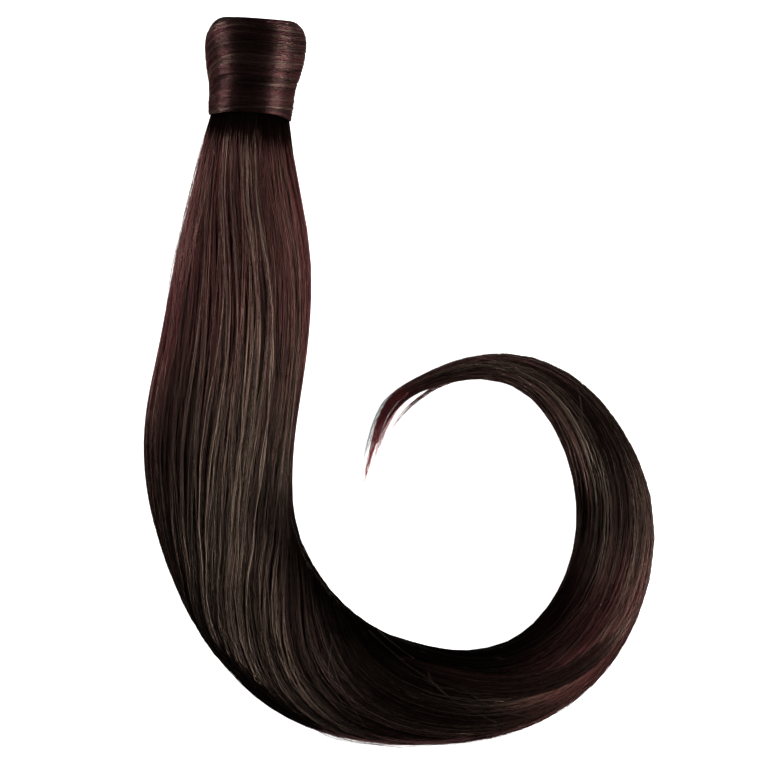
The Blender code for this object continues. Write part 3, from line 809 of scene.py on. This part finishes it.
def tip_wisps():
    """The wisps at the tip. Each hair follows its wisp's middle, off to one side, and starts and stops at
    a place of its own."""
    rng = np.random.default_rng(47)
    share = np.linspace(0, 1, WISP_STATIONS)[None, :]
    paths, radius, tint, red, shade = [], [], [], [], []
    for wisp in TIP_WISPS:
        middle, count = np.array(wisp["middle"]), wisp["hairs"]
        knots = np.linspace(0, 1, len(middle))
        start = rng.uniform(0, wisp["starts"], (count, 1))
        reach = start + (rng.uniform(wisp["reaches"], 1, (count, 1)) - start) * share
        place = np.stack([spline(knots, middle[:, i], reach) for i in range(3)], axis=-1)
        ahead = np.gradient(place, axis=1)
        side = np.stack([ahead[..., 1], -ahead[..., 0]], axis=-1)
        side /= np.linalg.norm(ahead[..., :2], axis=-1, keepdims=True)
        wide, narrow = wisp["width"]
        spread = rng.uniform(-0.5, 0.5, (count, 1)) * (wide + (narrow - wide) * reach)
        spread = spread + wavering(rng, count, 0.25, 0.5, 1.2, share)
        place[..., :2] += side * spread[..., None]
        height = place[..., 2] * rng.uniform(0.8, 1.0, (count, 1))
        place[..., 2] = np.maximum(height, LOOSE_LEAST_HEIGHT)
        paths.append(place)
        radius.append(wisp["radius"] * (1 - 0.45 * share) * np.ones((count, 1)))
        tint.append(np.clip(wisp["tint"] + 0.3 * rng.uniform(-1, 1, (count, 1)) + 0 * reach, 0, 1))
        own_red = wisp["red"] * (1.1 - 0.5 * rng.uniform(0, 1, (count, 1)) ** 2)
        red.append(np.clip(own_red * smooth_step(-0.05, 0.2, reach), 0, 1))
        first, last = wisp["first_shade"], 0.5 + 0.8 * rng.uniform(0, 1, (count, 1))
        shade.append(first + (last - first) * smooth_step(0.4, 0.95, reach))
    paths, radius, *values = (np.concatenate(each) for each in (paths, radius, tint, red, shade))
    return hair_tubes("tail_tip_wisps", paths, radius, UPWARD, wisp_hair, values)


# Stray hairs that cross the others on the tail's top, as points on the table under them.
STRAY_HAIRS = (
    ((-27.2, -105.2), (-28.4, -114.8), (-26.8, -121.2), (-21.6, -131.6)),
    ((-12.8, -99.6), (1.6, -112.4), (12.8, -120.4), (22.4, -128.4), (41.6, -138.0)),
    ((11.2, -113.2), (12.8, -119.6), (20.0, -126.4)),
    ((-33.6, -92.0), (-29.0, -107.0), (-22.4, -124.0), (-14.4, -137.2)),
    ((-52.0, -103.0), (-38.0, -118.4), (-22.0, -130.0), (-2.0, -139.0)),
    ((-16.0, -88.0), (-8.0, -100.0), (6.0, -111.0)),
    ((24.0, -122.0), (38.0, -131.0), (52.0, -134.5)),
    ((66.0, 8.0), (72.0, -6.0), (73.0, -24.0)),
)
STRAY_STATIONS = 16
STRAY_RADIUS = 0.05
STRAY_LIFT = 0.25


def stray_hairs():
    """The stray hairs, each with a close neighbour, lying on the top of the tail."""
    rng = np.random.default_rng(53)
    share = np.linspace(0, 1, STRAY_STATIONS)
    fine = np.linspace(0, TAIL_LENGTH, 1200)
    line = np.stack([spline(tail_run, TAIL_ROWS[:, i], fine) for i in range(5)], axis=-1)
    paths = []
    for points in STRAY_HAIRS:
        points = np.array(points, float)
        knots = np.linspace(0, 1, len(points))
        for shift in (0.0, 0.5):
            bends = [spline(knots, points[:, i] + shift * rng.uniform(-1, 1), share) for i in range(2)]
            flat = np.stack(bends, axis=-1)
            away = np.linalg.norm(flat[:, None] - line[None, :, :2], axis=-1)
            near = line[away.argmin(axis=1)]
            off = np.clip(away.min(axis=1) / (near[:, 2] / 2), 0, 0.98)
            half_height = (near[:, 3] - near[:, 4]) / 2
            height = near[:, 4] + half_height * (1 + np.sqrt(1 - off**2)) + STRAY_LIFT
            paths.append(np.concatenate([flat, height[:, None]], axis=1))
    paths = np.array(paths)
    values = (0.7, 0.0, 0.4 * np.sin(np.pi * (0.1 + 0.8 * share)))
    radius = np.full(paths.shape[:2], STRAY_RADIUS)
    return hair_tubes("tail_stray_hairs", paths, radius, UPWARD, loose_hair, values)


outer_lock = lock_hairs("tail_outer_lock", OUTER_LOCK, 0.18, 0.1, 0.7, 0.5)
# The crossing lock lightens towards its end: painted highlight where it lies on the lower right of the
# curl.
crossing_lock = lock_hairs("tail_crossing_lock", CROSSING_LOCK, 0.3, 0.25, 0.5, 2.4)
tail_pieces = [tail_bundle(), *tail_hairs(), outer_lock, crossing_lock]
tail_pieces += [loose_hairs(), tip_wisps(), stray_hairs()]
for piece in tail_pieces:
    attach(piece, "root")
    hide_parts("tail")


# The wrap
# A long lock is wound round the base into a collar and its end is tucked under. The collar is hollow:
# the wearer's own tied hair goes in at the mouth, so its inner wall is hair as well.

COLLAR_LENGTH = 40.2
SHOULDER_START = 30.6
MOUTH_HALF_WIDTH = 13.2
MOUTH_SLOPE = 0.01
DEPTH_TO_WIDTH = 0.84
COLLAR_FLATTENED = 0.4
RIGHT_DROOP = 2.1
LEFT_DROOP = 2.0
EDGE_FADES_AT = 9.0
COLLAR_ALONG = np.array([0.0, 4.6, 11.9, 16.5, 21.5, 27.0, 30.6])
COLLAR_HALF_WIDTH = np.array([15.9, 16.85, 17.3, 18.25, 19.4, 20.2, 20.3])
BURGUNDY_WRAP = (0.032, 0.0108, 0.0128, 1)
wrap_hair = hair_material("wrap_hair", 0.32, 0.9, BURGUNDY_WRAP)
wrap_under = hair_material("wrap_under_hair", 0.45, 0.9, BURGUNDY_WRAP)


def collar_to_table(across, along, height):
    """From the collar's own directions to the table's: turned by its lean, then moved to its foot."""
    cos, sin = np.cos(COLLAR_LEAN), np.sin(COLLAR_LEAN)
    return np.stack(
        [
            COLLAR_FOOT[0] + across * cos + along * sin,
            COLLAR_FOOT[1] - across * sin + along * cos,
            height + 0 * across,
        ],
        axis=-1,
    )


def collar_half_width(along):
    """A spline up the body, then a quarter of an ellipse round the shoulder to the mouth."""
    body = spline(COLLAR_ALONG, COLLAR_HALF_WIDTH, np.clip(along, 0, SHOULDER_START))
    rise = np.clip((along - SHOULDER_START) / (COLLAR_LENGTH - SHOULDER_START), 0, 1)
    widest = COLLAR_HALF_WIDTH[-1]
    shoulder = MOUTH_HALF_WIDTH + (widest - MOUTH_HALF_WIDTH) * np.sqrt(1 - rise**2)
    return np.where(along < SHOULDER_START, body, shoulder)


def lower_edge(angle):
    """The wrap's lower edge hangs lower at its right and its left."""
    right = RIGHT_DROOP * np.clip(np.cos(angle), 0, 1) ** 4
    left = LEFT_DROOP * np.clip(-np.cos(angle), 0, 1) ** 2
    return LOWER_EDGE - right - left


def collar_point(along, angle, depth):
    """A point on the collar's outside: an oval that is less deep than wide and stands on the table. Low
    on the collar it follows the lower edge."""
    half_width = collar_half_width(along) - depth
    rise = np.clip((along - SHOULDER_START) / (COLLAR_LENGTH - SHOULDER_START), 0, 1)
    middle = collar_half_width(np.minimum(along, SHOULDER_START)) * DEPTH_TO_WIDTH - COLLAR_FLATTENED
    low = np.clip((EDGE_FADES_AT - along) / (EDGE_FADES_AT - LOWER_EDGE), 0, 1)
    lift = (lower_edge(angle) - LOWER_EDGE) * low
    across = half_width * np.cos(angle)
    height = np.maximum(middle + half_width * DEPTH_TO_WIDTH * np.sin(angle), LEAST_HEIGHT)
    return collar_to_table(across, along + lift + MOUTH_SLOPE * rise * across, height)


# The throat, in rows: how far down from the mouth, how much wider than its oval, and how much of the
# mouth's slope it has. Its lower side is flat at THROAT_FLAT. The pocket for the bound root, in rows: how
# far up the collar, and the half width, base and top of its oval.
THROAT_HALF_WIDTH = 11.8
THROAT_HALF_DEPTH = 9.4
THROAT_MIDDLE = 16.7
THROAT_FLAT = 9.7
THROAT_ROWS = ((0.0, 0.6, 1.0), (1.4, 0.2, 0.85), (4.0, 0.0, 0.6), (14.0, 0.0, 0.0), (26.4, 0.0, 0.0))
POCKET_ROWS = ((13.0, 12.5, 3.9, 22.9), (5.2, 13.35, 2.65, 23.35), (4.1, 15.15, 1.05, 24.95))
WRAP_SIDES = 120
WRAP_SUNK = 0.45


def wrap_bundle():
    """The wound lock as one closed sleeve: up its outside, over the shoulder, down the throat, and round
    the pocket to the lower edge."""
    angle = np.arange(WRAP_SIDES) * 2 * np.pi / WRAP_SIDES
    turn = np.radians([10, 20, 30, 40, 50, 60, 70, 80, 90])
    shoulder = SHOULDER_START + (COLLAR_LENGTH - SHOULDER_START) * np.sin(turn)
    outside = np.concatenate([np.linspace(LOWER_EDGE, SHOULDER_START, 50), shoulder])
    rings = [collar_point(along + 0 * angle, angle, WRAP_SUNK) for along in outside]
    for down, flare, slope in THROAT_ROWS:
        across = (THROAT_HALF_WIDTH + flare) * np.cos(angle)
        height = THROAT_MIDDLE + (THROAT_HALF_DEPTH + flare) * np.sin(angle)
        along = COLLAR_LENGTH - down + MOUTH_SLOPE * slope * across
        rings.append(collar_to_table(across, along, np.maximum(height, THROAT_FLAT - flare)))
    for along, half_width, base, top in POCKET_ROWS:
        height = (base + top) / 2 + (top - base) / 2 * np.sin(angle)
        rings.append(collar_to_table(half_width * np.cos(angle), along + 0 * angle, height))
    rings.append(collar_to_table(half_width * np.cos(angle), lower_edge(angle), height))
    grid = np.array(rings)[:, ::-1]
    faces = ring_faces(len(rings), WRAP_SIDES, closed=True)
    piece = mesh_piece("wrap_bundle", grid, [faces], wrap_under)
    rng = np.random.default_rng(7)
    row_tint = np.repeat(rng.uniform(0.1, 0.3, len(rings)), WRAP_SIDES)
    point_values(piece, row_tint, 0.2 + 0 * row_tint, 0.5 + 0 * row_tint)
    return piece


# The wound lock's bands: middle and half width along the collar, how much each drops over a quarter
# turn in front, and how far it falls at the left, where it turns down before passing underneath.
WRAP_BANDS = np.array(
    (
        (38.4, 2.4, 0.2, 9.0),
        (34.6, 3.0, -0.9, 12.0),
        (30.2, 3.0, 0.9, 12.0),
        (26.2, 2.7, -0.7, 11.0),
        (22.6, 2.5, 0.7, 10.0),
        (19.2, 2.4, -0.9, 9.0),
        (15.8, 2.3, 1.4, 7.5),
        (12.2, 2.2, -0.4, 5.5),
        (8.8, 2.0, 1.0, 3.5),
        (5.2, 2.0, 0.2, 1.0),
    )
)
WRAP_HAIRS = 900
WRAP_WISPS = 110
WRAP_STATIONS = 30
LIGHT_WISPS = 0.25


def wrap_hairs():
    """Hairs wound round the collar in bands, in small wisps. Each runs half a turn or more, nearly level
    in front and falling at the left, and each band swells out in its middle."""
    rng = np.random.default_rng(23)
    wisp = np.sort(rng.integers(0, WRAP_WISPS, WRAP_HAIRS))
    light = rng.uniform(0, 1, WRAP_WISPS) < LIGHT_WISPS
    band = np.arange(WRAP_WISPS) % len(WRAP_BANDS)
    middle, half, slope, drop = WRAP_BANDS[band[wisp]].T[..., None]
    wisp_place = rng.uniform(-1, 1, WRAP_WISPS)
    apart = np.where(light, 0.1, 0.2)[wisp][:, None]
    place = wisp_place[wisp][:, None] + rng.normal(0, 1, (WRAP_HAIRS, 1)) * apart
    place = np.clip(place, -1.1, 1.1)
    wisp_start = rng.uniform(-150, 20, WRAP_WISPS)
    start = wisp_start[wisp][:, None] + rng.uniform(-25, 25, (WRAP_HAIRS, 1))
    share = np.linspace(0, 1, WRAP_STATIONS)[None, :]
    angle = start + share * rng.uniform(180, 330, (WRAP_HAIRS, 1))
    wisp_tilt = rng.normal(0, 1.0, WRAP_WISPS) * (1 + light)
    fall = np.clip((angle - 100) / 80, 0, 1.2) ** 2
    along = middle + place * half - (slope + wisp_tilt[wisp][:, None]) * (angle - 90) / 90 - drop * fall
    along = along + wavering(rng, WRAP_HAIRS, 0.5, 50, 200, angle)
    lowest = 2.6 + 0.6 * rng.uniform(0, 1, (WRAP_HAIRS, 1))
    highest = COLLAR_LENGTH - 0.05 - 1.0 * rng.uniform(0, 1, (WRAP_HAIRS, 1)) ** 2
    along = np.clip(along, lowest, highest)

    # How deep each hair lies: higher in the middle of its band, and tucked in at both of its ends.
    wisp_depth = rng.uniform(-0.3, 0.4, WRAP_WISPS) - 0.15 * light
    facing = np.cos(np.radians(angle))
    relief = 1 - 0.8 * facing**4
    depth = 0.1 + 0.5 * rng.uniform(0, 1, (WRAP_HAIRS, 1))
    depth = depth + relief * (wisp_depth[wisp][:, None] - 0.5 * (1 - place**2))
    depth = depth + 0.6 * (1 - smooth_step(0, 30, angle - start))
    depth = depth + 0.5 * smooth_step(-30, 0, angle - angle[:, -1:])
    paths = collar_point(along, np.radians(angle), depth)
    radius = HAIR_RADIUS * rng.uniform(0.6, 1.3, (WRAP_HAIRS, 1))
    radius = radius * (1 - 0.6 * smooth_step(0.85, 1.0, share))

    chance = (0.4, 0.9) * rng.normal(0, 1, (WRAP_WISPS, 2))[wisp]
    chance = chance + (0.6, 0.8) * rng.normal(0, 1, (WRAP_HAIRS, 2))
    tint = np.clip(0.26 + 0.38 * light[wisp][:, None] + 0.2 * chance[:, :1], 0.03, 1)
    red = np.clip(0.5 + 0.25 * chance[:, 1:], 0, 1)
    # Painted highlights on both flanks of the collar and painted shade across its top, where the wound
    # hairs run across the lamps' light.
    shade = 0.7 + 1.0 * np.abs(facing) ** 3 + 2.0 * np.abs(facing) ** 10
    axis = (np.sin(COLLAR_LEAN), np.cos(COLLAR_LEAN), 0)
    return hair_tubes("wrap_hairs", paths, radius, axis, wrap_hair, (tint, red, shade))


for piece in (wrap_bundle(), wrap_hairs()):
    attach(piece, "root")
    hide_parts("hair_wrap")


# The tie band
# A dark woven elastic, which shows as a narrow dark strip between the wrap's lower edge and the hair.


def elastic_material():
    """Dark ribbed elastic: fine ribs round the band raise its surface."""
    material = bpy.data.materials.new("elastic")
    material.use_nodes = True
    nodes, links = material.node_tree.nodes, material.node_tree.links
    shader = nodes["Principled BSDF"]
    shader.inputs["Base Color"].default_value = (0.0015, 0.001, 0.001, 1)
    shader.inputs["Roughness"].default_value = 0.9
    shader.inputs["Specular IOR Level"].default_value = 0.02
    place = nodes.new("ShaderNodeTexCoord")
    ribs = nodes.new("ShaderNodeTexWave")
    ribs.bands_direction = "Y"
    ribs.inputs["Scale"].default_value = 900
    ribs.inputs["Distortion"].default_value = 0.6
    raised = nodes.new("ShaderNodeBump")
    raised.inputs["Strength"].default_value = 0.5
    raised.inputs["Distance"].default_value = 0.0002
    links.new(place.outputs["Object"], ribs.inputs["Vector"])
    links.new(ribs.outputs["Fac"], raised.inputs["Height"])
    links.new(raised.outputs["Normal"], shader.inputs["Normal"])
    return material


# The comb
# A small dark plastic comb, sewn flat inside the mouth. The collar hides it from above.


def comb_material():
    """Moulded plastic with a faint unevenness in its gloss."""
    material = bpy.data.materials.new("comb_plastic")
    material.use_nodes = True
    nodes, links = material.node_tree.nodes, material.node_tree.links
    shader = nodes["Principled BSDF"]
    shader.inputs["Base Color"].default_value = (0.012, 0.010, 0.010, 1)
    place = nodes.new("ShaderNodeTexCoord")
    uneven = nodes.new("ShaderNodeTexNoise")
    uneven.inputs["Scale"].default_value = 600
    gloss = nodes.new("ShaderNodeMapRange")
    gloss.inputs["To Min"].default_value = 0.28
    gloss.inputs["To Max"].default_value = 0.46
    links.new(place.outputs["Object"], uneven.inputs["Vector"])
    links.new(uneven.outputs["Fac"], gloss.inputs["Value"])
    links.new(gloss.outputs["Result"], shader.inputs["Roughness"])
    return material


for node, material in (("tie_band", elastic_material()), ("comb", comb_material())):
    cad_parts[node].data.materials.clear()
    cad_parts[node].data.materials.append(material)
